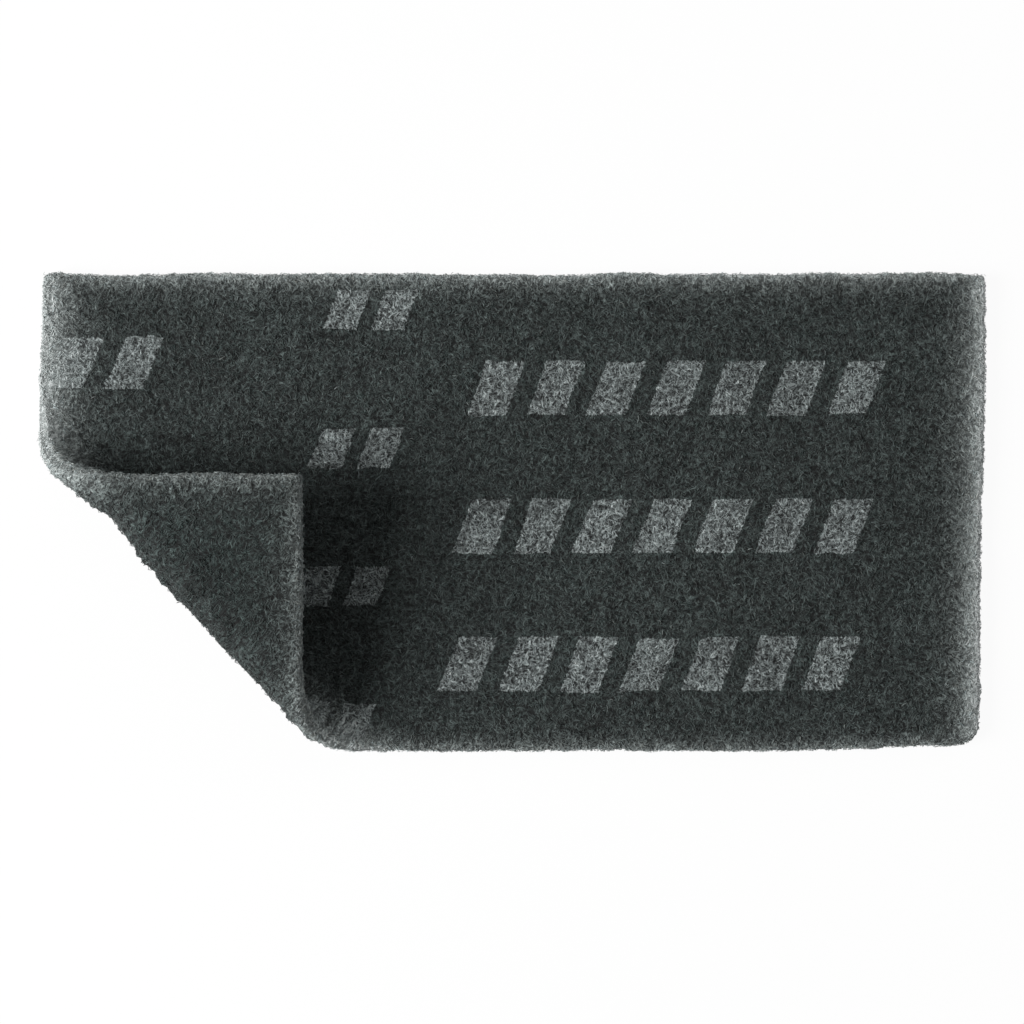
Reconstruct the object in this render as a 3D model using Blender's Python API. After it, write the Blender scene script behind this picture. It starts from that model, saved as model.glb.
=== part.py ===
"""Non-woven fibre abrasive hand pad, lying flat with one corner folded up and over.

The pad is one slab of lofty fibre web. Towards its lower left corner it turns up about an
oblique line in an open roll, so that the corner lies upside down above the rest of the pad.
+X runs along the pad, +Y across it and +Z up. The origin is under the middle of its box.
"""

import math

import bmesh
import bpy
from mathutils import Vector, noise

# The flat pad, before its corner is folded
LENGTH = 0.2290
WIDTH = 0.1162
THICKNESS = 0.0043
LEFT_END_LEAN = math.radians(2.2)
RIGHT_END_LEAN = math.radians(1.0)
CORNER_RADIUS = 0.0022
WORN_CORNER_RADIUS = 0.0048
EDGE_ROUND = 0.0014

# The near long edge runs in a little towards the worn corner, from this far right of the middle
NEAR_EDGE_RISE = 0.0018
NEAR_EDGE_RISE_START = 0.0500

# The folded corner
FOLD_SLOPE = math.radians(45.6)
FOLD_SETBACK = 0.0652
ROLL_INNER_RADIUS = 0.0086
FOLD_TURN = math.radians(170.0)

# Where the outside of the roll is pressed in, measured along the fold from its loose corner:
# a short dent, and a long shallow hollow
DENT_DEPTH = 0.0015
DENT_REACH = 0.0085
DENT_PLACE = 0.0240
HOLLOW_DEPTH = 0.0012
HOLLOW_REACH = 0.0300
HOLLOW_PLACE = 0.0160

# The web's unevenness: how far it strays, and how far apart its humps are
FACE_LOFT = 0.0005
FACE_LOFT_SPACING = 0.014
EDGE_STRAY = 0.0006
EDGE_STRAY_SPACING = 0.018

# How finely the surface is divided
CELL = 0.0055
CORNER_STEPS = 4
EDGE_STEPS = 3
ROLL_STEPS = 16
SMALLEST_EDGE = 0.0003

FIBRE_GREY = (0.038, 0.043, 0.042, 1.0)
FIBRE_ROUGHNESS = 0.9

UP = Vector((0.0, 0.0, 1.0))
ALONG_FOLD = Vector((math.cos(FOLD_SLOPE), -math.sin(FOLD_SLOPE), 0.0))
TO_CORNER = Vector((-math.sin(FOLD_SLOPE), -math.cos(FOLD_SLOPE), 0.0))
ROLL_RADIUS = ROLL_INNER_RADIUS + THICKNESS / 2


def slab_point(along, across, height):
    """A point of the flat slab, from shares of its size that run from -0.5 to 0.5."""
    below_top_edge = (0.5 - across) * WIDTH
    left = -LENGTH / 2 - below_top_edge * math.tan(LEFT_END_LEAN)
    right = LENGTH / 2 - below_top_edge * math.tan(RIGHT_END_LEAN)
    x = left + (along + 0.5) * (right - left)
    return Vector((x, across * WIDTH, height * THICKNESS))


LOOSE_CORNER = slab_point(-0.5, -0.5, 0.0)
FOLD_START = LOOSE_CORNER.dot(TO_CORNER) - FOLD_SETBACK


def flat_slab():
    """The cut piece of web: leaning ends, rounded corners and soft rounded cut edges."""
    slab = bmesh.new()
    bmesh.ops.create_cube(slab, size=1.0)
    for vert in slab.verts:
        vert.co = slab_point(*vert.co)
    slab.normal_update()

    for worn, radius in ((True, WORN_CORNER_RADIUS), (False, CORNER_RADIUS)):
        round_off(slab, corner_edges(slab, worn), radius, CORNER_STEPS)
    slab.normal_update()

    level = [face for face in slab.faces if abs(face.normal.z) > 0.5]
    rim = [edge for edge in slab.edges if any(face in level for face in edge.link_faces)]
    round_off(slab, rim, EDGE_ROUND, EDGE_STEPS)
    return slab


def corner_edges(slab, worn):
    """The upright edge of the worn corner at the near right, or those of the other corners."""
    found = []
    for edge in slab.edges:
        first, second = (vert.co for vert in edge.verts)
        upright = abs(first.z - second.z) > THICKNESS / 2
        near_right = first.x > 0 and first.y < 0
        if upright and near_right == worn:
            found.append(edge)
    return found


def round_off(slab, edges, radius, steps):
    """Rounds edges of the slab."""
    bmesh.ops.bevel(slab, geom=edges, offset=radius, segments=steps, profile=0.5, affect="EDGES")


def cut_through(slab, direction, distances):
    """Divides the slab by upright planes square to direction, at these distances."""
    for distance in distances:
        bmesh.ops.bisect_plane(
            slab,
            geom=slab.verts[:] + slab.edges[:] + slab.faces[:],
            plane_co=direction * distance,
            plane_no=direction,
            dist=SMALLEST_EDGE / 10,
        )


def divide(slab):
    """Cells in line with the fold, and narrow ones where the web bends."""
    reach = math.hypot(LENGTH, WIDTH) / 2 + CELL
    roll_length = ROLL_RADIUS * FOLD_TURN
    cells = int(reach / CELL) + 1
    bends = [FOLD_START + roll_length * step / ROLL_STEPS for step in range(ROLL_STEPS + 1)]
    before = [FOLD_START - CELL * step for step in range(1, 2 * cells)]
    beyond = [FOLD_START + roll_length + CELL * step for step in range(1, cells)]
    cut_through(slab, TO_CORNER, bends + before + beyond)
    cut_through(slab, ALONG_FOLD, [CELL * step for step in range(-cells, cells + 1)])
    bmesh.ops.remove_doubles(slab, verts=slab.verts[:], dist=SMALLEST_EDGE)
    bmesh.ops.dissolve_degenerate(slab, edges=slab.edges[:], dist=SMALLEST_EDGE / 10)


def past_fold(point):
    """How far a point of the flat slab lies past the line where the web starts to turn up."""
    return point.dot(TO_CORNER) - FOLD_START


def loosened(point):
    """The point, moved by the gentle unevenness of the web. The face it rests on stays flat."""
    place = Vector((point.x, point.y, 0.0))
    upper = max(point.z, 0.0) / (THICKNESS / 2)
    lifted = min(max(past_fold(point) / ROLL_RADIUS, 0.0), 1.0)
    lower = max(-point.z, 0.0) / (THICKNESS / 2) * lifted
    upper_loft = noise.noise(place / FACE_LOFT_SPACING)
    lower_loft = noise.noise(place / FACE_LOFT_SPACING + UP)
    stray_x = noise.noise(place / EDGE_STRAY_SPACING + 2 * UP)
    stray_y = noise.noise(place / EDGE_STRAY_SPACING + 3 * UP)
    rise = (upper * upper_loft - lower * lower_loft) * FACE_LOFT
    to_end = max(point.x - NEAR_EDGE_RISE_START, 0.0) / (LENGTH / 2 - NEAR_EDGE_RISE_START)
    run_in = NEAR_EDGE_RISE * to_end**2 * (0.5 - point.y / WIDTH)
    return point + Vector((stray_x * EDGE_STRAY, stray_y * EDGE_STRAY + run_in, rise))


def folded(point):
    """Where the fold takes a point of the flat slab: up round the roll and back over it."""
    past = past_fold(point)
    if past <= 0.0:
        return point
    turn = min(past / ROLL_RADIUS, FOLD_TURN)
    beyond_roll = past - turn * ROLL_RADIUS
    out = (ROLL_RADIUS - point.z) * math.sin(turn) + beyond_roll * math.cos(turn)
    rise = ROLL_RADIUS - (ROLL_RADIUS - point.z) * math.cos(turn) + beyond_roll * math.sin(turn)
    along = ALONG_FOLD * point.dot(ALONG_FOLD)
    return along + TO_CORNER * (FOLD_START + out) + UP * rise


def pressed(point, flat_point):
    """Presses in the outside of the roll. The slab and the loose corner stay."""
    turn = min(max(past_fold(flat_point) / ROLL_RADIUS, 0.0), math.pi)
    along = (flat_point - LOOSE_CORNER).dot(ALONG_FOLD)
    dent = DENT_DEPTH * math.exp(-(((along + DENT_PLACE) / DENT_REACH) ** 2))
    hollow = HOLLOW_DEPTH * math.exp(-(((along + HOLLOW_PLACE) / HOLLOW_REACH) ** 2))
    return point - TO_CORNER * (dent + hollow) * math.sin(turn)


def stand_on_origin(shape):
    """Moves the shape so that the middle of its underside's box is the origin."""
    lowest = Vector(min(vert.co[axis] for vert in shape.verts) for axis in range(3))
    highest = Vector(max(vert.co[axis] for vert in shape.verts) for axis in range(3))
    middle = (lowest + highest) / 2
    foot = Vector((middle.x, middle.y, lowest.z))
    bmesh.ops.translate(shape, verts=shape.verts[:], vec=-foot)


def fibre_material():
    """Dark grey fibre, dull all over."""
    material = bpy.data.materials.new("dark_grey_fibre")
    material.use_nodes = True
    shader = material.node_tree.nodes["Principled BSDF"]
    shader.inputs["Base Color"].default_value = FIBRE_GREY
    shader.inputs["Roughness"].default_value = FIBRE_ROUGHNESS
    shader.inputs["Metallic"].default_value = 0.0
    return material


def fibre_pad():
    """The whole pad, one solid."""
    shape = flat_slab()
    divide(shape)
    for vert in shape.verts:
        flat_point = loosened(vert.co)
        vert.co = pressed(folded(flat_point), flat_point)
    stand_on_origin(shape)
    bmesh.ops.recalc_face_normals(shape, faces=shape.faces[:])
    mesh = bpy.data.meshes.new("fibre_pad")
    shape.to_mesh(mesh)
    shape.free()
    mesh.shade_smooth()
    mesh.materials.append(fibre_material())
    return bpy.data.objects.new("fibre_pad", mesh)


def main():
    for old in list(bpy.data.objects):
        bpy.data.objects.remove(old, do_unlink=True)
    collection = bpy.data.collections.new("abrasive_hand_pad")
    bpy.context.scene.collection.children.link(collection)
    collection.objects.link(fibre_pad())


main()
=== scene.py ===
"""Looks of the non-woven abrasive hand pad: its web, its loose fibres, its print and its light.

The pad's body is a dense mesh of the folded slab. Over it lie thousands of curly fibres, laid
out on the flat slab and then folded with it, so that they turn with the roll.
"""

import math

import bpy
import numpy as np
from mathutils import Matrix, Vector, noise


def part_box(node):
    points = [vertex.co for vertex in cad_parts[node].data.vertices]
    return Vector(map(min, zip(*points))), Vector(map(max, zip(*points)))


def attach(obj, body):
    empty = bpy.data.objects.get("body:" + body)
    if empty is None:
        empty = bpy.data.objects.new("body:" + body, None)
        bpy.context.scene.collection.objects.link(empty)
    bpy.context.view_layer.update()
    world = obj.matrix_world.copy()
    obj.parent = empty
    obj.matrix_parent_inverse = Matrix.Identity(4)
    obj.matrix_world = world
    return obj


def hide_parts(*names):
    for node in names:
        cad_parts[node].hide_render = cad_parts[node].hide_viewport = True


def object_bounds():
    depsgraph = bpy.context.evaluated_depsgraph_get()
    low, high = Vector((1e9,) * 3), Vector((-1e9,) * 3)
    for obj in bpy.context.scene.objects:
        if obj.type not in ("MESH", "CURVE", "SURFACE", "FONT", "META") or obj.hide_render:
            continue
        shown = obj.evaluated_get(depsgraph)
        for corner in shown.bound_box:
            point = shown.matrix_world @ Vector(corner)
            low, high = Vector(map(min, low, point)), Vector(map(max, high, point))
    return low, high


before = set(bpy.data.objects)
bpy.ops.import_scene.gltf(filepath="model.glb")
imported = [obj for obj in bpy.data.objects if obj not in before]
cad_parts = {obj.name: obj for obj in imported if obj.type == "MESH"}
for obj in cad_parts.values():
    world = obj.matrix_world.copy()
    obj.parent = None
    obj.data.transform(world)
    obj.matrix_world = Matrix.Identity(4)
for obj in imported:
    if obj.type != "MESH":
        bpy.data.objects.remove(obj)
CAD_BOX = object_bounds()

# The flat pad and its fold, with the sizes that the solid has
LENGTH = 0.2290
WIDTH = 0.1162
THICKNESS = 0.0043
LEFT_END_LEAN = math.radians(2.2)
RIGHT_END_LEAN = math.radians(1.0)
CORNER_RADIUS = 0.0022
WORN_CORNER_RADIUS = 0.0048
EDGE_ROUND = 0.0014
NEAR_EDGE_RISE = 0.0018
NEAR_EDGE_RISE_START = 0.0500
FOLD_SLOPE = math.radians(45.6)
FOLD_SETBACK = 0.0652
ROLL_INNER_RADIUS = 0.0086
FOLD_TURN = math.radians(170.0)
DENT_DEPTH = 0.0015
DENT_REACH = 0.0085
DENT_PLACE = 0.0240
HOLLOW_DEPTH = 0.0012
HOLLOW_REACH = 0.0300
HOLLOW_PLACE = 0.0160
FACE_LOFT = 0.0005
FACE_LOFT_SPACING = 0.014
EDGE_STRAY = 0.0006
EDGE_STRAY_SPACING = 0.018

# The levels at which the noise of each unevenness is read. The first four are the solid's.
UPPER_LEVEL, LOWER_LEVEL, EDGE_X_LEVEL, EDGE_Y_LEVEL = 0.0, 1.0, 2.0, 3.0
RUFFLE_X_LEVEL, RUFFLE_Y_LEVEL = 5.0, 6.0
UPPER_TUFT_LEVEL, LOWER_TUFT_LEVEL, SWELL_LEVEL = 7.0, 8.0, 9.0

WALL_HALF = THICKNESS / 2 - EDGE_ROUND
ROLL_RADIUS = ROLL_INNER_RADIUS + THICKNESS / 2
ALONG_FOLD = np.array([math.cos(FOLD_SLOPE), -math.sin(FOLD_SLOPE)])
TO_CORNER = np.array([-math.sin(FOLD_SLOPE), -math.cos(FOLD_SLOPE)])

# Steps along each side of the outline, and the least length that anything is divided by
OUTLINE_STEPS = 400
TINY = 1e-12

# The web's body, a little inside the surface that its loose fibres reach
BODY_CELL = 0.00125
BODY_EDGE_LINES = 5
BODY_SINK = 0.00022
RIM_SINK = 0.00002
BODY_LUMPS = 0.00022
BODY_LUMP_SPACING = 0.0011
RUFFLE = 0.00032
RUFFLE_SPACING = 0.0034
TUFT_HEIGHT = 0.00034
ROLL_TUFTS = 2.2
TUFT_SPACING = 0.0014
LEFT_LOFT = 0.0006
TURNED_LOFT = 0.0004
LOFT_REACH = 0.004

# Fibres: how many, and their form in metres
SEED = 7
TOP_BATCHES = 3
FIBRES_A_BATCH = 10400
RIM_FIBRES = 8000
STRAY_FIBRES = 240
FIBRE_STATIONS = np.array([0.0, 0.1, 0.5, 0.9, 1.0])
FIBRE_LENGTH = (0.0008, 0.0021)
FIBRE_RADIUS = (0.00006, 0.00011)
FIBRE_CURL = 1300.0
LEAST_CURL = 1.0
FIBRE_LAYER = (-0.00032, -0.00002)
FIBRE_ARCH = 0.00030
HIGHEST_ARCH = 2 * FIBRE_ARCH
ARCH_BALANCE = 0.4
TUBE_SIDES = 3
OVERDRAW = 8
HIDDEN_SHARE = 0.25
RIM_FIBRE_SHARE = 0.6
RIM_FIBRE_LAYER = (-0.0003, 0.0001)
RIM_FIBRE_SLOPE = 0.0002
STRAY_LENGTH = (0.0004, 0.0009)
STRAY_ROOT_DEPTH = 0.0004
STRAY_TUCK = 0.0003
STRAY_SWING = 0.7
STRAY_CURL = 0.8
STRAY_TILT = 0.15
STRAY_THINNESS = 0.8
BAKE_MARGIN = 0.3

# Colours, as linear shares of light. Each glow is painted light, its strength and how far it reaches
# in.
FIBRE_GREY = 0.0615
FIBRE_SPREAD = 0.42
DARK_TINT = np.array([0.018, 0.030, 0.028])
LIGHT_HUE = np.array([0.93, 1.0, 0.985])
HUE_SPREAD = 0.03
HUE_STRAY = np.array([1.0, 0.0, -0.6])
BODY_GREY = 0.0615
# The turned-over flap is darker: partly the underside's own tone, partly painted shade that offsets
# the extra light its tilt catches
TURNED_TONE_AND_SHADE = 0.63
INK_GREY = (0.235, 0.260, 0.260)
INK_SHEERNESS = 0.7
LIGHTEST = (0.56, 0.59, 0.585)
# Painted light on the flat pad's cut edges, strongest on the right edge, which faces away from the
# key lamp
LEFT_GLOW = (0.88, 0.0036)
LEFT_GLOW_LIMIT = 0.55
RIGHT_GLOW = (0.92, 0.0030)
FAR_GLOW = (0.48, 0.0020)
NEAR_GLOW = (0.37, 0.0014)
# Painted light on the rims of the turned-over flap, lit as if from behind
FOLDED_GLOW = (0.155, 0.0034)
FOLDED_RIM_GLOW = (0.16, 0.0007)
# Painted light where the web climbs into the roll near its ends, in place of the roll's own shade
# there
ROLL_GLOW = (0.25, 0.0110)
ROLL_GLOW_PLACE = 0.0080
ROLL_GLOW_SPAN = 0.0062
# Painted light along the outside of the roll's crest, as if light shone through its fuzz
CREST_GLOW = 0.036
CREST_GLOW_SPAN = 0.0042

# The felt of the body's surface. A scale is how many features lie along a metre.
FELT_LAYERS = 5
STRAND_SCALE = 560.0
STRAND_SLIMNESS = 0.14
SWIRL_SCALE = 560.0
SWIRL_REACH = 0.0014
FELT_OFFSET = (0.31, 0.17)
FELT_CUT = (0.54, 0.77)
WEB_SHADES = (0.05, 1.95)
WEB_ROUGHNESS = (0.95, 0.75)
WEB_BUMP = (0.9, 0.0003)

# The coat of a loose fibre, with its grains of abrasive
GRAIN_SCALE = 2600.0
GRAIN_SHADES = (0.5, 1.5)
GRAIN_ROUGHNESS = (0.5, 0.9)
GRAIN_BUMP = (0.5, 0.00005)

# Darker and lighter places: tufts, wide patches, and small pores darkened with painted shade. All are
# softer in the rim's painted light.
TUFT_SCALE = 480.0
TUFT_SHADES = (0.4, 1.6)
PATCH_SCALE = 70.0
PATCH_SHADES = (0.65, 1.35)
# Painted shade: small dark specks where the web's gaps lie in shade
PORE_SCALE = 1100.0
PORE_CUT = (0.36, 0.47)
PORE_SHADES = (0.35, 1.10)
SOFT_FROM = 0.08
SOFTNESS = 1.0
SOFTEST = 0.27

# The print's ragged edges, and how well it covers the web
FRAY_SCALE = 900.0
FRAY = 0.0011
COVER_SCALE = 1500.0
COVER_RANGE = (-0.4, 2.4)
THINNEST_COVER = 0.25

# The print's fields of plain slanted bars, which repeat in rows
ROW_PITCH = 0.0336
ROW_DRIFT = 0.072
BAR_SLANT = 0.28
INK_FIELDS = (
    {"start": 0.1075, "count": 7, "pitch": 0.0146, "width": 0.0094, "row": 0.0211, "height": 0.0130},
    {"start": 0.0700, "count": 2, "pitch": 0.0118, "width": 0.0080, "row": 0.0065, "height": 0.0095},
    {"start": -0.0685, "count": 7, "pitch": 0.0146, "width": 0.0094, "row": 0.0271, "height": 0.0130},
)

# The photograph's view, straight down on the pad
VIEW_WIDTH = 0.2488
LENS = 100.0
SENSOR = 36.0
VIEW_OFFSET_X = -0.0004

# The floor, the surround and the lamps: each lamp's place, size and watts
FLOOR_SIZE = 4.0
FLOOR_GAP = 0.00002
FLOOR_COLOUR = (0.94, 0.94, 0.94, 1.0)
FLOOR_WHITENESS = 0.94
WHITE = (1.0, 1.0, 1.0, 1.0)
SURROUND = 0.11
LAMPS = {
    "key_lamp": ((-1.04, -0.16, 0.71), 0.78, 23.3),
    "fill_lamp": ((-0.1, 0.8, 0.7), 0.8, 1.4),
    "low_lamp": ((0.80, 0.45, 0.37), 0.5, 2.1),
}


def slab_plan(a, b):
    """Plan place of points a along the pad and b across it, from the flat slab's lower left."""
    across = b / WIDTH - 0.5
    below_top_edge = (0.5 - across) * WIDTH
    left = -LENGTH / 2 - below_top_edge * math.tan(LEFT_END_LEAN)
    right = LENGTH / 2 - below_top_edge * math.tan(RIGHT_END_LEAN)
    return left + a / LENGTH * (right - left), across * WIDTH


LOOSE_CORNER = np.array(slab_plan(0.0, 0.0))
FOLD_START = LOOSE_CORNER @ TO_CORNER - FOLD_SETBACK


def corner_radius(a, b):
    """The radius of the corner nearest to points. The one at the near right is worn."""
    return np.where((a > LENGTH / 2) & (b < WIDTH / 2), WORN_CORNER_RADIUS, CORNER_RADIUS)


def rim_of(a, b):
    """How deep points lie inside the rounded outline, and the way out of it. Outside is minus."""
    off = np.stack([a - LENGTH / 2, b - WIDTH / 2], -1)
    radius = corner_radius(a, b)
    over = np.abs(off) - (np.array([LENGTH, WIDTH]) / 2 - radius[..., None])
    outer = np.maximum(over, 0.0)
    reach = np.linalg.norm(outer, axis=-1)
    depth = radius - reach - np.minimum(over.max(-1), 0.0)
    nearer_end = over[..., :1] > over[..., 1:]
    inner = np.where(nearer_end, [1.0, 0.0], [0.0, 1.0])
    way = np.where(reach[..., None] > 0, outer / np.maximum(reach, TINY)[..., None], inner)
    return depth, way * np.sign(off)


def past_fold(x, y):
    """How far flat points lie past the line where the web starts to turn up."""
    return x * TO_CORNER[0] + y * TO_CORNER[1] - FOLD_START


def strayed(flat, spacing, level):
    """A stray from -1 to 1 for each flat point, that changes over this spacing."""
    places = (flat[:, :2] / spacing).tolist()
    return np.array([noise.noise(Vector((x, y, level))) for x, y in places])


def loosened(flat):
    """Flat points moved by the web's gentle unevenness, as in the solid."""
    x, y, z = flat.T
    upper = np.maximum(z, 0.0) / (THICKNESS / 2)
    lifted = np.clip(past_fold(x, y) / ROLL_RADIUS, 0.0, 1.0)
    lower = np.maximum(-z, 0.0) / (THICKNESS / 2) * lifted
    stray_x = strayed(flat, EDGE_STRAY_SPACING, EDGE_X_LEVEL) * EDGE_STRAY
    stray_y = strayed(flat, EDGE_STRAY_SPACING, EDGE_Y_LEVEL) * EDGE_STRAY
    upper_loft = strayed(flat, FACE_LOFT_SPACING, UPPER_LEVEL) * FACE_LOFT
    lower_loft = strayed(flat, FACE_LOFT_SPACING, LOWER_LEVEL) * FACE_LOFT
    to_end = np.maximum(x - NEAR_EDGE_RISE_START, 0.0) / (LENGTH / 2 - NEAR_EDGE_RISE_START)
    stray_y += NEAR_EDGE_RISE * to_end**2 * (0.5 - y / WIDTH)
    return flat + np.column_stack([stray_x, stray_y, upper * upper_loft - lower * lower_loft])


def folded(flat):
    """Where the fold takes flat points: up round the pressed-in roll, and back over it."""
    past = past_fold(flat[:, 0], flat[:, 1])
    along = flat[:, :2] @ ALONG_FOLD
    turn = np.clip(past / ROLL_RADIUS, 0.0, FOLD_TURN)
    straight = past - turn * ROLL_RADIUS
    inner = ROLL_RADIUS - flat[:, 2]
    out = inner * np.sin(turn) + straight * np.cos(turn)
    rise = ROLL_RADIUS - inner * np.cos(turn) + np.maximum(straight, 0.0) * np.sin(turn)
    off = along - LOOSE_CORNER @ ALONG_FOLD
    dent = DENT_DEPTH * np.exp(-(((off + DENT_PLACE) / DENT_REACH) ** 2))
    hollow = HOLLOW_DEPTH * np.exp(-(((off + HOLLOW_PLACE) / HOLLOW_REACH) ** 2))
    out -= (dent + hollow) * np.sin(np.clip(past / ROLL_RADIUS, 0.0, math.pi))
    plan = along[:, None] * ALONG_FOLD + (FOLD_START + out)[:, None] * TO_CORNER
    return np.column_stack([plan, rise])


def laid(a, b, lift, side):
    """Flat points on the slab's skin, lifted off it. A point past the outline goes down the rim."""
    depth, way = rim_of(a, b)
    over = np.maximum(-depth, 0.0)
    inside = np.clip(EDGE_ROUND - depth, 0.0, EDGE_ROUND)
    lean = np.arcsin(inside / EDGE_ROUND)
    round_height = WALL_HALF + np.sqrt(EDGE_ROUND**2 - inside**2)
    height = np.where(over > 0, WALL_HALF - np.minimum(over, 2 * WALL_HALF), round_height)
    outward = np.sin(lean) * lift - over
    x, y = slab_plan(a + way[..., 0] * outward, b + way[..., 1] * outward)
    return np.stack([x, y, side * (height + np.cos(lean) * lift)], -1)


def ruffled(flat):
    """Flat points strayed a little more, over the few millimetres that a tuft measures."""
    x, y, z = flat.T
    turn = np.clip(past_fold(x, y) / ROLL_RADIUS, 0.0, math.pi)
    outside_roll = np.where(z < 0, np.sin(turn), 0.0)
    at_left = np.minimum(np.exp(-(x + LENGTH / 2) / LOFT_REACH), 1.0) * (0.5 + y / WIDTH)
    at_near = np.minimum(np.exp(-(y + WIDTH / 2) / LOFT_REACH), 1.0) * turn / math.pi
    stray_x = strayed(flat, RUFFLE_SPACING, RUFFLE_X_LEVEL) * RUFFLE - LEFT_LOFT * at_left
    stray_y = strayed(flat, RUFFLE_SPACING, RUFFLE_Y_LEVEL) * RUFFLE - TURNED_LOFT * at_near
    outward = z / (THICKNESS / 2) * (1 + ROLL_TUFTS * outside_roll)
    upper_tufts = strayed(flat, TUFT_SPACING, UPPER_TUFT_LEVEL) * TUFT_HEIGHT
    lower_tufts = strayed(flat, TUFT_SPACING, LOWER_TUFT_LEVEL) * TUFT_HEIGHT
    tufts = np.where(z < 0, lower_tufts, upper_tufts)
    swells = strayed(flat, RUFFLE_SPACING, SWELL_LEVEL) * RUFFLE
    return flat + np.column_stack([stray_x, stray_y, outward * (tufts + swells)])


def on_frame(flat):
    """Flat points, loosened and folded, in the solid's place."""
    points = folded(ruffled(loosened(flat.reshape(-1, 3)))).reshape(flat.shape) + SHIFT
    points[..., 2] = np.maximum(points[..., 2], CAD_BOX[0][2] + FIBRE_RADIUS[1])
    return points


def outline_points():
    """Points all round the slab's rim at half its height, for finding the solid's place."""
    t = np.linspace(0, 1, OUTLINE_STEPS)
    a = np.concatenate([t * LENGTH, t * LENGTH, 0 * t, 0 * t + LENGTH])
    b = np.concatenate([0 * t, 0 * t + WIDTH, t * WIDTH, t * WIDTH])
    return laid(a, b, np.zeros_like(a), 1.0) * (1, 1, 0)


def frame_shift():
    """From this script's own place to the solid's: under the middle of its box."""
    low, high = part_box("fibre_pad")
    points = folded(loosened(outline_points()))
    middle = (np.array(low) + np.array(high))[:2] / 2
    mine = (points.min(0) + points.max(0))[:2] / 2
    return np.array([*(middle - mine), low[2] + THICKNESS / 2])


SHIFT = frame_shift()


def fading(depth, strength, reach):
    """A lightness that fades with the depth inside an edge."""
    return strength * np.exp(-np.maximum(depth, 0.0) / reach)


def turned_share(a, b):
    """How far points are turned over by the roll, from 0 to 1."""
    return np.clip(past_fold(*slab_plan(a, b)) / (ROLL_RADIUS * FOLD_TURN), 0.0, 1.0)


def painted_light(a, b):
    """Painted light towards the cut edges, as if light shone through the thin web there: wide at the
    ends of the roll, weak beyond it.
    """
    nearest = np.minimum.reduce((a, LENGTH - a, WIDTH - b, b))
    left = np.minimum(fading(a, *LEFT_GLOW), LEFT_GLOW_LIMIT)
    right = fading(LENGTH - a, *RIGHT_GLOW)
    flat = np.maximum.reduce((left, right, fading(WIDTH - b, *FAR_GLOW), fading(b, *NEAR_GLOW)))
    turned = fading(nearest, *FOLDED_GLOW) + fading(nearest, *FOLDED_RIM_GLOW)
    share = turned_share(a, b)
    past = past_fold(*slab_plan(a, b))
    # Painted light on the roll's shaded insides near its ends
    climbing = np.exp(-(((past - ROLL_GLOW_PLACE) / ROLL_GLOW_SPAN) ** 2))
    painted_crest_light = np.exp(-(((past - ROLL_RADIUS * math.pi / 2) / CREST_GLOW_SPAN) ** 2))
    roll = fading(nearest, *ROLL_GLOW) * climbing + CREST_GLOW * painted_crest_light
    return flat * (1 - share) + turned * share + roll


def tinted(grey, a, b):
    """Colours of points: a dark cool tint and over it a more neutral grey, with painted light at the
    edges.
    """
    # The turned-over flap darkened, partly its own tone and partly painted shade
    shade = 1 - (1 - TURNED_TONE_AND_SHADE) * turned_share(a, b)
    return DARK_TINT + (grey * shade - DARK_TINT[1] + painted_light(a, b))[..., None] * LIGHT_HUE


def new_piece(name, points, triangles, quads, tint, flat_place, material):
    """A mesh piece that keeps a tint and a place on the flat slab for each vertex."""
    mesh = bpy.data.meshes.new(name)
    mesh.vertices.add(len(points))
    mesh.vertices.foreach_set("co", points.astype(np.float32).ravel())
    sizes = np.concatenate([np.full(len(triangles), 3), np.full(len(quads), 4)])
    corners = np.concatenate([triangles.ravel(), quads.ravel()]).astype(np.int32)
    mesh.loops.add(len(corners))
    mesh.loops.foreach_set("vertex_index", corners)
    mesh.polygons.add(len(sizes))
    mesh.polygons.foreach_set("loop_start", (np.cumsum(sizes) - sizes).astype(np.int32))
    mesh.update(calc_edges=True)
    colour = mesh.color_attributes.new("tint", "FLOAT_COLOR", "POINT")
    rows = np.column_stack([tint, np.ones(len(tint))]).astype(np.float32)
    colour.data.foreach_set("color", rows.ravel())
    kept = mesh.attributes.new("flat_place", "FLOAT_VECTOR", "POINT")
    kept.data.foreach_set("vector", flat_place.astype(np.float32).ravel())
    mesh.shade_smooth()
    mesh.materials.append(material)
    piece = bpy.data.objects.new(name, mesh)
    bpy.context.scene.collection.objects.link(piece)
    return piece


def spaced(size, cell):
    """Places of grid lines across the slab, close together over its rounded edges."""
    bend = EDGE_ROUND * (1 - np.cos(np.linspace(0, math.pi / 2, BODY_EDGE_LINES + 1)))
    middle = np.linspace(EDGE_ROUND, size - EDGE_ROUND, round((size - 2 * EDGE_ROUND) / cell) + 1)
    return np.concatenate([bend[:-1], middle, size - bend[-2::-1]])


def rounded_plan(a, b):
    """Grid points drawn in so that the grid's square corners follow the rounded ones."""
    off = np.stack([a - LENGTH / 2, b - WIDTH / 2], -1)
    half = np.array([LENGTH, WIDTH]) / 2 - corner_radius(a, b)[..., None]
    over = np.abs(off) - half
    in_corner = (over > 0).all(-1)
    share = over.max(-1) / np.maximum(np.linalg.norm(over, axis=-1), TINY)
    moved = np.sign(off) * (half + over * share[..., None])
    off = np.where(in_corner[..., None], moved, off)
    return off[..., 0] + LENGTH / 2, off[..., 1] + WIDTH / 2


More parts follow.
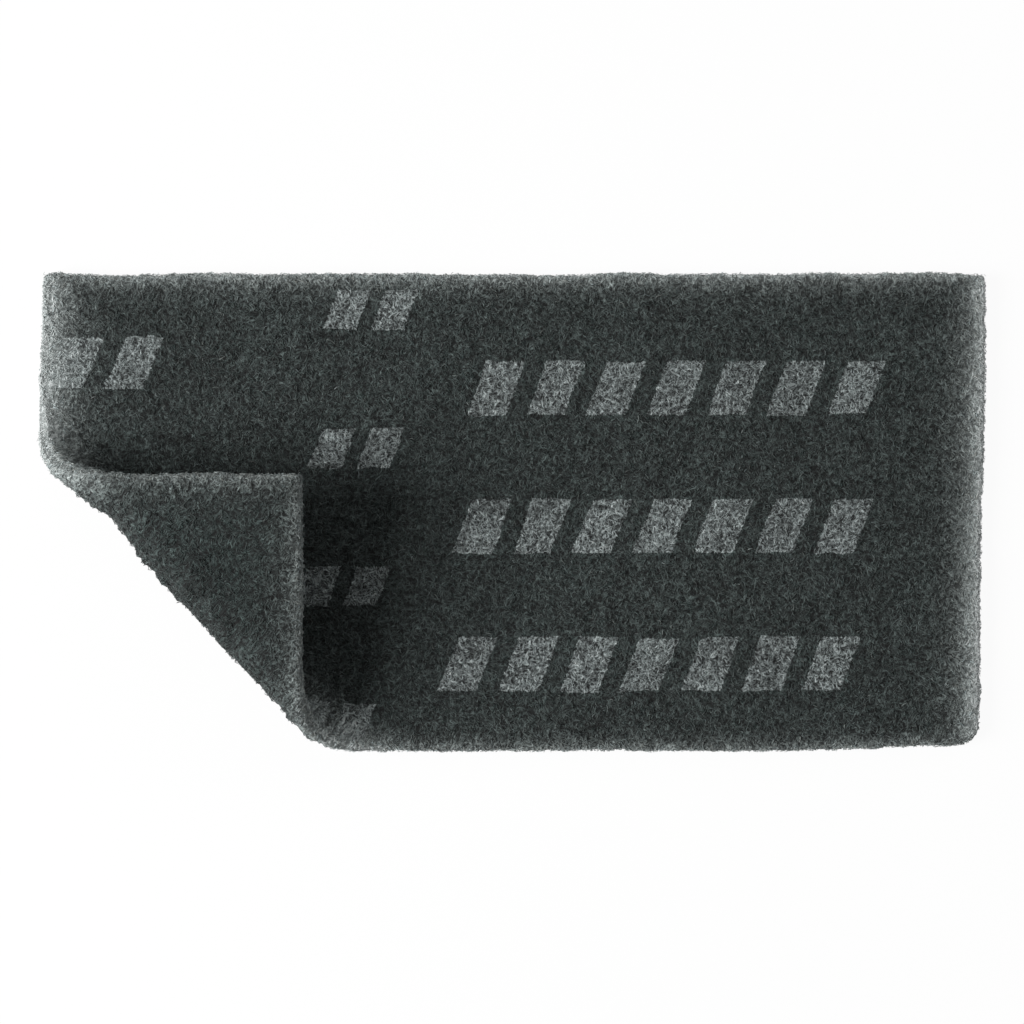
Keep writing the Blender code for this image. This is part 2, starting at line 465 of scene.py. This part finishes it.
def body_quads(rows, columns):
    """Corner numbers of the body's two faces, and of the wall that joins them."""
    index = np.arange(rows * columns).reshape(rows, columns)
    upper = np.stack([index[:-1, :-1], index[1:, :-1], index[1:, 1:], index[:-1, 1:]], -1)
    upper = upper.reshape(-1, 4)
    lower = upper[:, ::-1] + rows * columns
    loop = np.concatenate([index[:-1, 0], index[-1, :-1], index[:0:-1, -1], index[0, :0:-1]])
    after = np.roll(loop, -1)
    wall = np.stack([loop, loop + rows * columns, after + rows * columns, after], -1)
    return np.concatenate([upper, lower, wall])


def web_body(material):
    """The body of the web: two dense faces joined by the wall of the cut edge."""
    lines_a, lines_b = spaced(LENGTH, BODY_CELL), spaced(WIDTH, BODY_CELL)
    a, b = rounded_plan(*np.meshgrid(lines_a, lines_b, indexing="ij"))
    quads = body_quads(*a.shape)
    a, b = a.ravel(), b.ravel()
    over_rim = np.clip(1 - rim_of(a, b)[0] / EDGE_ROUND, 0.0, 1.0)
    sink = BODY_SINK + RIM_SINK * over_rim**2
    points = on_frame(np.concatenate([laid(a, b, -sink, 1.0), laid(a, b, -sink, -1.0)]))
    tint = np.tile(tinted(BODY_GREY, a, b), (2, 1))
    sides = [np.column_stack([a, b, np.full(len(a), printed)]) for printed in (1.0, 0.0)]
    none = np.zeros((0, 3), int)
    piece = new_piece("web_body", points, none, quads, tint, np.concatenate(sides), material)
    roughen(piece, CAD_BOX[0][2])
    return piece


def roughen(piece, floor):
    """Raises and sinks each vertex a little along its normal, and keeps it off the floor."""
    mesh = piece.data
    places = np.empty(len(mesh.vertices) * 3, np.float32)
    normals = np.empty(len(mesh.vertices) * 3, np.float32)
    mesh.vertices.foreach_get("co", places)
    mesh.vertex_normals.foreach_get("vector", normals)
    places, normals = places.reshape(-1, 3), normals.reshape(-1, 3)
    lumps = [noise.noise(Vector(place)) for place in (places / BODY_LUMP_SPACING).tolist()]
    places += normals * (np.array(lumps)[:, None] * BODY_LUMPS)
    places[:, 2] = np.maximum(places[:, 2], floor)
    mesh.vertices.foreach_set("co", places.ravel())
    mesh.update()


def curled_paths(rng, a, b, length):
    """Arcs about points of the plan: places along the pad and across it, a row a fibre."""
    heading = rng.uniform(0, 2 * math.pi, (len(a), 1))
    curl = rng.normal(0, FIBRE_CURL, (len(a), 1))
    curl = np.where(np.abs(curl) < LEAST_CURL, LEAST_CURL, curl)
    turn = curl * (FIBRE_STATIONS - 0.5) * length[:, None]
    ahead, aside = np.sin(turn) / curl, (1 - np.cos(turn)) / curl
    run_a = ahead * np.cos(heading) - aside * np.sin(heading)
    run_b = ahead * np.sin(heading) + aside * np.cos(heading)
    return a[:, None] + run_a, b[:, None] + run_b


def fibre_tints(rng, a, b):
    """Colours along fibres: most are dark, a few are light, and their hue strays a little."""
    count = len(a)
    grey = FIBRE_GREY * np.exp(rng.normal(-(FIBRE_SPREAD**2) / 2, FIBRE_SPREAD, (count, 1)))
    hue = 1 + rng.normal(0, HUE_SPREAD, (count, 1, 1)) * HUE_STRAY
    return tinted(grey + 0 * a, a, b) * hue


def tube_corners():
    """Corner numbers of one closed three-sided tube: a tip, its rings and another tip."""
    rings = len(FIBRE_STATIONS) - 2
    last = 1 + TUBE_SIDES * rings
    first_ring, last_ring = 1, last - TUBE_SIDES
    around = [(side, (side + 1) % TUBE_SIDES) for side in range(TUBE_SIDES)]
    tips = [(0, first_ring + far, first_ring + near) for near, far in around]
    tips += [(last, last_ring + near, last_ring + far) for near, far in around]
    walls = []
    for ring in range(rings - 1):
        low = 1 + TUBE_SIDES * ring
        high = low + TUBE_SIDES
        walls += [(low + near, low + far, high + far, high + near) for near, far in around]
    return np.array(tips), np.array(walls), last + 1


def tube_points(rng, centres, radius):
    """Points of thin tubes along rows of centre points: a tip, the rings and another tip."""
    along = np.gradient(centres, axis=1)
    along /= np.linalg.norm(along, axis=-1, keepdims=True)
    guide = rng.normal(size=(len(centres), 1, 3))
    whole = centres[:, -1:] - centres[:, :1]
    whole /= np.maximum(np.linalg.norm(whole, axis=-1, keepdims=True), TINY)
    guide -= (guide * whole).sum(-1, keepdims=True) * whole
    across = np.cross(along, guide)
    across /= np.maximum(np.linalg.norm(across, axis=-1, keepdims=True), TINY)
    upward = np.cross(along, across)
    turns = (np.arange(TUBE_SIDES) * 2 * math.pi / TUBE_SIDES)[:, None]
    spokes = across[:, 1:-1, None] * np.cos(turns) + upward[:, 1:-1, None] * np.sin(turns)
    rings = centres[:, 1:-1, None] + spokes * radius[:, None, None, None]
    rings = rings.reshape(len(centres), -1, 3)
    return np.concatenate([centres[:, :1], rings, centres[:, -1:]], 1).reshape(-1, 3)


def fibre_piece(name, rng, centres, radius, path_a, path_b, printed, material):
    """Many fibres as one piece, each a closed tube with its own tint and flat place."""
    points = tube_points(rng, centres, radius)
    paths = np.stack([path_a, path_b], -1)
    kept = np.concatenate([fibre_tints(rng, path_a, path_b), paths], -1)
    kept = np.concatenate([kept[:, :1], np.repeat(kept[:, 1:-1], TUBE_SIDES, 1), kept[:, -1:]], 1)
    tint, places = np.split(kept.reshape(len(kept) * kept.shape[1], -1), [3], axis=1)
    flat_place = np.column_stack([places, np.full(len(places), printed)])
    tips, walls, size = tube_corners()
    start = np.arange(len(centres))[:, None, None] * size
    triangles = (tips + start).reshape(-1, 3)
    quads = (walls + start).reshape(-1, 4)
    piece = new_piece(name, points, triangles, quads, tint, flat_place, material)
    add_bake_map(piece, len(centres), len(walls))
    return piece


def add_bake_map(piece, count, walls):
    """A map that gives each fibre a small cell of its own, its sides beside each other."""
    cells = math.ceil(math.sqrt(count))
    cell = np.stack([np.arange(count) % cells, np.arange(count) // cells], -1)
    rings = walls // TUBE_SIDES + 1
    tip_uv = []
    for end in (0, 1):
        for side in range(TUBE_SIDES):
            base, top = (1, 0) if end == 0 else (rings, rings + 1)
            near, far = (side, side + 1) if end else (side + 1, side)
            tip_uv.append([(side + 0.5, top), (near, base), (far, base)])
    wall_uv = []
    for ring in range(rings - 1):
        for side in range(TUBE_SIDES):
            low, high = ring + 1, ring + 2
            wall_uv.append([(side, low), (side + 1, low), (side + 1, high), (side, high)])
    size = np.array([TUBE_SIDES, rings + 1]) + 2 * BAKE_MARGIN
    tip_uv = (np.array(tip_uv) + BAKE_MARGIN) / size
    wall_uv = (np.array(wall_uv) + BAKE_MARGIN) / size
    tip_part = (cell[:, None, None] + tip_uv).reshape(-1, 2)
    wall_part = (cell[:, None, None] + wall_uv).reshape(-1, 2)
    layer = piece.data.uv_layers.new(name="OFBake")
    places = np.concatenate([tip_part, wall_part]) / cells
    layer.uv.foreach_set("vector", places.astype(np.float32).ravel())


def face_fibres(name, rng, a, b, side, material):
    """Fibres that lie in the skin of one face, their tips tucked in."""
    count = len(a)
    path_a, path_b = curled_paths(rng, a, b, rng.uniform(*FIBRE_LENGTH, count))
    layer = rng.uniform(*FIBRE_LAYER, (count, 1))
    arch = np.minimum(rng.exponential(FIBRE_ARCH, (count, 1)), HIGHEST_ARCH)
    lift = layer + arch * (ARCH_BALANCE - (2 * FIBRE_STATIONS - 1) ** 2)
    if side < 0:
        resting = np.clip(1 - past_fold(*slab_plan(path_a, path_b)) / ROLL_RADIUS, 0, 1)
        lift = np.where(resting > 0, np.minimum(lift, -FIBRE_RADIUS[1] * resting), lift)
    centres = on_frame(laid(path_a, path_b, lift, side))
    radius = rng.uniform(*FIBRE_RADIUS, count)
    printed = max(side, 0.0)
    return fibre_piece(name, rng, centres, radius, path_a, path_b, printed, material)


def round_the_rim(rng, count, inner, outer):
    """Points scattered evenly round the outline, from so deep inside it to so far outside."""
    way_round = rng.uniform(0, 2 * (LENGTH + WIDTH), count)
    depth = rng.uniform(-outer, inner, count)
    on_side = way_round < 2 * LENGTH
    a = np.where(on_side, way_round % LENGTH, 0.0)
    b = np.where(on_side, 0.0, (way_round - 2 * LENGTH) % WIDTH)
    far_side = (way_round % (2 * LENGTH)) > LENGTH
    far_end = (way_round - 2 * LENGTH) > WIDTH
    a = np.where(on_side, a, np.where(far_end, LENGTH - depth, depth))
    b = np.where(on_side, np.where(far_side, WIDTH - depth, depth), b)
    return a, b


def rim_fibres(rng, material):
    """Fibres over the cut edge all round, half of them from each face, some ends standing out."""
    count = RIM_FIBRES
    a, b = round_the_rim(rng, count, EDGE_ROUND, WALL_HALF)
    side = np.where(rng.random(count) < 0.5, 1.0, -1.0)[:, None]
    length = rng.uniform(*FIBRE_LENGTH, count) * RIM_FIBRE_SHARE
    path_a, path_b = curled_paths(rng, a, b, length)
    slope = rng.normal(0, RIM_FIBRE_SLOPE, (count, 1)) * (FIBRE_STATIONS - 0.5)
    lift = rng.uniform(*RIM_FIBRE_LAYER, (count, 1)) + slope
    centres = on_frame(laid(path_a, path_b, lift, side))
    radius = rng.uniform(*FIBRE_RADIUS, count)
    return fibre_piece("rim_fibres", rng, centres, radius, path_a, path_b, 0.0, material)


def stray_fibres(rng, material):
    """Loose fibre ends that stick out of the cut edge."""
    count = STRAY_FIBRES
    a, b = round_the_rim(rng, count, STRAY_ROOT_DEPTH, 0.0)
    way = rim_of(a, b)[1]
    heading = np.arctan2(way[:, 1], way[:, 0]) + rng.normal(0, STRAY_SWING, count)
    length = rng.uniform(*STRAY_LENGTH, count)[:, None]
    turned = heading[:, None] + rng.normal(0, STRAY_CURL, (count, 1)) * FIBRE_STATIONS
    reach = FIBRE_STATIONS * length - STRAY_TUCK
    path_a = a[:, None] + reach * np.cos(turned)
    path_b = b[:, None] + reach * np.sin(turned)
    height = rng.uniform(-WALL_HALF, WALL_HALF + EDGE_ROUND / 2, (count, 1))
    height = height + rng.normal(0, STRAY_TILT, (count, 1)) * reach
    x, y = slab_plan(path_a, path_b)
    centres = on_frame(np.stack([x, y, height], -1))
    radius = rng.uniform(*FIBRE_RADIUS, count) * STRAY_THINNESS
    return fibre_piece("stray_fibres", rng, centres, radius, path_a, path_b, 0.0, material)


class Graph:
    """Short names for making and joining a material's nodes."""

    def __init__(self, name):
        self.material = bpy.data.materials.new(name)
        self.material.use_nodes = True
        self.tree = self.material.node_tree
        self.shader = self.tree.nodes["Principled BSDF"]

    def node(self, kind, **settings):
        made = self.tree.nodes.new(kind)
        for key, value in settings.items():
            setattr(made, key, value)
        return made

    def join(self, source, target):
        self.tree.links.new(source, target)

    def maths(self, operation, first, second=None):
        """One maths node. Its inputs are sockets or numbers."""
        made = self.node("ShaderNodeMath", operation=operation)
        for place, value in enumerate((first, second)):
            if value is None:
                continue
            if isinstance(value, (int, float)):
                made.inputs[place].default_value = value
            else:
                self.join(value, made.inputs[place])
        return made.outputs[0]

    def texture(self, place, scale, detail=2.0):
        """A noise texture's value at a place."""
        made = self.node("ShaderNodeTexNoise")
        made.inputs["Scale"].default_value = scale
        made.inputs["Detail"].default_value = detail
        self.join(place, made.inputs["Vector"])
        return made.outputs["Fac"]

    def stirred(self, place):
        """Places on the flat slab, so that the felt turns with the roll, stirred to curl it."""
        kept = self.node("ShaderNodeAttribute", attribute_name="flat_place")
        split = self.node("ShaderNodeSeparateXYZ")
        self.join(place, split.inputs[0])
        depth = self.node("ShaderNodeCombineXYZ")
        self.join(split.outputs[2], depth.inputs[0])
        self.join(split.outputs[2], depth.inputs[1])
        swirl = self.node("ShaderNodeTexNoise")
        swirl.inputs["Scale"].default_value = SWIRL_SCALE
        swirl.inputs["Detail"].default_value = 1.0
        self.join(place, swirl.inputs["Vector"])
        moved = self.node("ShaderNodeVectorMath", operation="MULTIPLY_ADD")
        self.join(swirl.outputs["Color"], moved.inputs[0])
        moved.inputs[1].default_value = (SWIRL_REACH, SWIRL_REACH, SWIRL_REACH)
        self.join(kept.outputs["Vector"], moved.inputs[2])
        both = self.node("ShaderNodeVectorMath", operation="ADD")
        self.join(moved.outputs[0], both.inputs[0])
        self.join(depth.outputs[0], both.inputs[1])
        return both.outputs[0]

    def felt(self, place):
        """Thin strands that lie across each other in every direction, from 0 to 1."""
        stirred = self.stirred(place)
        top = None
        for step in range(FELT_LAYERS):
            turned = self.node("ShaderNodeMapping", vector_type="TEXTURE")
            offset = (FELT_OFFSET[0] * step, FELT_OFFSET[1] * step, 0.0)
            turned.inputs["Location"].default_value = offset
            turned.inputs["Rotation"].default_value = (0.0, 0.0, math.pi * step / FELT_LAYERS)
            turned.inputs["Scale"].default_value = (1.0, STRAND_SLIMNESS, 1.0)
            self.join(stirred, turned.inputs["Vector"])
            layer = self.texture(turned.outputs[0], STRAND_SCALE, detail=1.0)
            top = layer if top is None else self.maths("MAXIMUM", top, layer)
        return self.cut(top, FELT_CUT, (0.0, 1.0))

    def cut(self, value, source, target):
        """A value held between two limits, and stretched from them to another range."""
        made = self.node("ShaderNodeMapRange")
        made.inputs["From Min"].default_value = source[0]
        made.inputs["From Max"].default_value = source[1]
        made.inputs["To Min"].default_value = target[0]
        made.inputs["To Max"].default_value = target[1]
        self.join(value, made.inputs["Value"])
        return made.outputs["Result"]

    def ranged(self, value, low, high):
        """A value from 0 to 1 stretched to another range."""
        return self.maths("ADD", self.maths("MULTIPLY", value, high - low), low)

    def bump(self, height, strength, distance):
        """Raises the surface by a height from 0 to 1."""
        made = self.node("ShaderNodeBump")
        made.inputs["Strength"].default_value = strength
        made.inputs["Distance"].default_value = distance
        self.join(height, made.inputs["Height"])
        self.join(made.outputs["Normal"], self.shader.inputs["Normal"])

    def softened(self, tint, level):
        """A level with less contrast where the tint is light, as at the cut edges."""
        split = self.node("ShaderNodeSeparateXYZ")
        self.join(tint, split.inputs[0])
        above = self.maths("SUBTRACT", split.outputs[1], SOFT_FROM)
        share = self.maths("MAXIMUM", self.maths("MULTIPLY", above, SOFTNESS), 0.0)
        share = self.maths("MINIMUM", share, SOFTEST)
        change = self.maths("MULTIPLY", share, self.maths("SUBTRACT", 1.0, level))
        return self.maths("ADD", level, change)

    def coloured(self, tint, mask, level):
        """The web's tint, with sheer ink over it where it is printed, times a level."""
        ink = self.node("ShaderNodeVectorMath", operation="MULTIPLY_ADD")
        self.join(tint, ink.inputs[0])
        ink.inputs[1].default_value = (INK_SHEERNESS, INK_SHEERNESS, INK_SHEERNESS)
        ink.inputs[2].default_value = INK_GREY
        # This node's colour sockets are inputs 6 and 7 and output 2
        mix = self.node("ShaderNodeMix", data_type="RGBA")
        self.join(mask, mix.inputs["Factor"])
        self.join(tint, mix.inputs[6])
        self.join(ink.outputs[0], mix.inputs[7])
        made = self.node("ShaderNodeVectorMath", operation="SCALE")
        self.join(mix.outputs[2], made.inputs[0])
        self.join(self.softened(tint, level), made.inputs["Scale"])
        held = self.node("ShaderNodeVectorMath", operation="MINIMUM")
        self.join(made.outputs[0], held.inputs[0])
        held.inputs[1].default_value = LIGHTEST
        self.join(held.outputs[0], self.shader.inputs["Base Color"])

    def ink_mask(self, object_place):
        """1 where the upper face is printed, from places on the flat slab."""
        kept = self.node("ShaderNodeAttribute", attribute_name="flat_place")
        split = self.node("ShaderNodeSeparateXYZ")
        self.join(kept.outputs["Vector"], split.inputs[0])
        fray = self.maths("SUBTRACT", self.texture(object_place, FRAY_SCALE), 0.5)
        fray = self.maths("MULTIPLY", fray, FRAY)
        a = self.maths("ADD", split.outputs[0], fray)
        b = self.maths("SUBTRACT", split.outputs[1], fray)
        masks = [self.bars(a, b, **field) for field in INK_FIELDS]
        either = self.maths("MAXIMUM", self.maths("MAXIMUM", masks[0], masks[1]), masks[2])
        printed = self.maths("MULTIPLY", either, split.outputs[2])
        cover = self.ranged(self.texture(object_place, COVER_SCALE, detail=1.0), *COVER_RANGE)
        cover = self.maths("MINIMUM", self.maths("MAXIMUM", cover, THINNEST_COVER), 1.0)
        return self.maths("MULTIPLY", printed, cover)

    def bars(self, a, b, start, count, pitch, width, row, height):
        """1 on the slanted bars of one field, in each of its rows."""
        first = self.maths("SUBTRACT", b, row - ROW_PITCH / 2)
        within = self.maths("FLOORED_MODULO", first, ROW_PITCH)
        off_row = self.maths("SUBTRACT", within, ROW_PITCH / 2)
        in_row = self.maths("LESS_THAN", self.maths("ABSOLUTE", off_row), height / 2)
        drift = self.maths("MULTIPLY", self.maths("SUBTRACT", b, WIDTH), ROW_DRIFT)
        slant = self.maths("MULTIPLY", off_row, BAR_SLANT)
        along = self.maths("SUBTRACT", self.maths("SUBTRACT", a, drift), slant)
        along = self.maths("SUBTRACT", along, start)
        on_bar = self.maths("LESS_THAN", self.maths("FLOORED_MODULO", along, pitch), width)
        after = self.maths("GREATER_THAN", along, 0.0)
        before = self.maths("LESS_THAN", along, pitch * count)
        in_field = self.maths("MULTIPLY", after, before)
        return self.maths("MULTIPLY", self.maths("MULTIPLY", in_row, on_bar), in_field)

    def patchiness(self, place):
        """A level about 1 that strays where tufts are denser or thinner, darkened with painted shade
        in small pores.
        """
        tufts = self.ranged(self.texture(place, TUFT_SCALE), *TUFT_SHADES)
        patches = self.ranged(self.texture(place, PATCH_SCALE), *PATCH_SHADES)
        painted_pore_shade = self.cut(self.texture(place, PORE_SCALE, detail=1.0), PORE_CUT, PORE_SHADES)
        return self.maths("MULTIPLY", self.maths("MULTIPLY", tufts, patches), painted_pore_shade)


def web_material():
    """The web below the loose fibres: curly strands with dark gaps between them."""
    graph = Graph("web_body")
    place = graph.node("ShaderNodeTexCoord").outputs["Object"]
    tint = graph.node("ShaderNodeAttribute", attribute_name="tint").outputs["Color"]
    web = graph.felt(place)
    level = graph.maths("MULTIPLY", graph.ranged(web, *WEB_SHADES), graph.patchiness(place))
    graph.coloured(tint, graph.ink_mask(place), level)
    graph.join(graph.ranged(web, *WEB_ROUGHNESS), graph.shader.inputs["Roughness"])
    graph.bump(web, *WEB_BUMP)
    return graph.material


def strand_material():
    """One fibre's coat: its own grey, speckled where grains of abrasive stick to it."""
    graph = Graph("fibre_strands")
    place = graph.node("ShaderNodeTexCoord").outputs["Object"]
    tint = graph.node("ShaderNodeAttribute", attribute_name="tint").outputs["Color"]
    grains = graph.texture(place, GRAIN_SCALE, detail=1.0)
    level = graph.maths("MULTIPLY", graph.ranged(grains, *GRAIN_SHADES), graph.patchiness(place))
    graph.coloured(tint, graph.ink_mask(place), level)
    graph.join(graph.ranged(grains, *GRAIN_ROUGHNESS), graph.shader.inputs["Roughness"])
    graph.bump(grains, *GRAIN_BUMP)
    return graph.material


def floor_material():
    """Matt white, made almost pure white for the camera, so that shadows on it are faint."""
    graph = Graph("floor")
    graph.shader.inputs["Base Color"].default_value = FLOOR_COLOUR
    graph.shader.inputs["Roughness"].default_value = 1.0
    graph.shader.inputs["Specular IOR Level"].default_value = 0.0
    white = graph.node("ShaderNodeEmission")
    path = graph.node("ShaderNodeLightPath")
    mix = graph.node("ShaderNodeMixShader")
    share = graph.maths("MULTIPLY", path.outputs["Is Camera Ray"], FLOOR_WHITENESS)
    graph.join(share, mix.inputs["Fac"])
    graph.join(graph.shader.outputs[0], mix.inputs[1])
    graph.join(white.outputs[0], mix.inputs[2])
    graph.join(mix.outputs[0], graph.tree.nodes["Material Output"].inputs["Surface"])
    return graph.material


def backdrop():
    """A plain white floor under the pad."""
    level = CAD_BOX[0][2] - FLOOR_GAP
    bpy.ops.mesh.primitive_plane_add(size=FLOOR_SIZE, location=(0, 0, level))
    floor = bpy.context.object
    floor.name = "floor"
    floor.data.materials.append(floor_material())


def area_lamp(name, place, size, power):
    """A square soft lamp that faces the pad's middle."""
    data = bpy.data.lights.new(name, "AREA")
    data.shape = "SQUARE"
    data.size = size
    data.energy = power
    lamp = bpy.data.objects.new(name, data)
    lamp.location = place
    lamp.rotation_euler = (-Vector(place)).to_track_quat("-Z", "Y").to_euler()
    bpy.context.scene.collection.objects.link(lamp)


def lights():
    """Soft light from the left, and weak ones from the far side and the right."""
    for name, (place, size, power) in LAMPS.items():
        area_lamp(name, place, size, power)


def surround():
    """An even white surround: weak as a light, and pure white where the camera sees it."""
    world = bpy.data.worlds.new("studio")
    bpy.context.scene.world = world
    world.use_nodes = True
    tree = world.node_tree
    light = tree.nodes["Background"]
    light.inputs["Color"].default_value = WHITE
    light.inputs["Strength"].default_value = SURROUND
    seen = tree.nodes.new("ShaderNodeBackground")
    seen.inputs["Color"].default_value = WHITE
    path = tree.nodes.new("ShaderNodeLightPath")
    mix = tree.nodes.new("ShaderNodeMixShader")
    tree.links.new(path.outputs["Is Camera Ray"], mix.inputs["Fac"])
    tree.links.new(light.outputs[0], mix.inputs[1])
    tree.links.new(seen.outputs[0], mix.inputs[2])
    tree.links.new(mix.outputs[0], tree.nodes["World Output"].inputs["Surface"])


def camera():
    """Straight down on the pad, as in the photograph."""
    data = bpy.data.cameras.new("camera")
    data.lens = LENS
    data.sensor_width = SENSOR
    view = bpy.data.objects.new("camera", data)
    height = VIEW_WIDTH * LENS / SENSOR
    view.location = (VIEW_OFFSET_X, 0, CAD_BOX[0][2] + THICKNESS + height)
    bpy.context.scene.collection.objects.link(view)
    bpy.context.scene.camera = view


def scattered(rng, count, upper):
    """Places on one face, thinner where it is hidden: inside the roll, or where the pad rests."""
    drawn = OVERDRAW * count
    a, b = rng.uniform(0, LENGTH, drawn), rng.uniform(0, WIDTH, drawn)
    turned_up = past_fold(*slab_plan(a, b)) > (ROLL_RADIUS if upper else 0)
    chance = np.where(turned_up == upper, HIDDEN_SHARE, 1.0)
    keep = rng.random(drawn) < chance
    return a[keep][:count], b[keep][:count]


def dress():
    """Makes every piece and puts it on the frame."""
    web, strands = web_material(), strand_material()
    body = web_body(web)
    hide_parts("fibre_pad")
    rng = np.random.default_rng(SEED)
    pieces = [body]
    for batch in range(TOP_BATCHES):
        a, b = scattered(rng, FIBRES_A_BATCH, True)
        pieces.append(face_fibres(f"top_fibres_{batch + 1}", rng, a, b, 1.0, strands))
    a, b = scattered(rng, FIBRES_A_BATCH, False)
    pieces.append(face_fibres("under_fibres", rng, a, b, -1.0, strands))
    pieces.append(rim_fibres(rng, strands))
    pieces.append(stray_fibres(rng, strands))
    for piece in pieces:
        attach(piece, "root")


dress()
backdrop()
lights()
surround()
camera()
bpy.context.scene.view_settings.view_transform = "Standard"
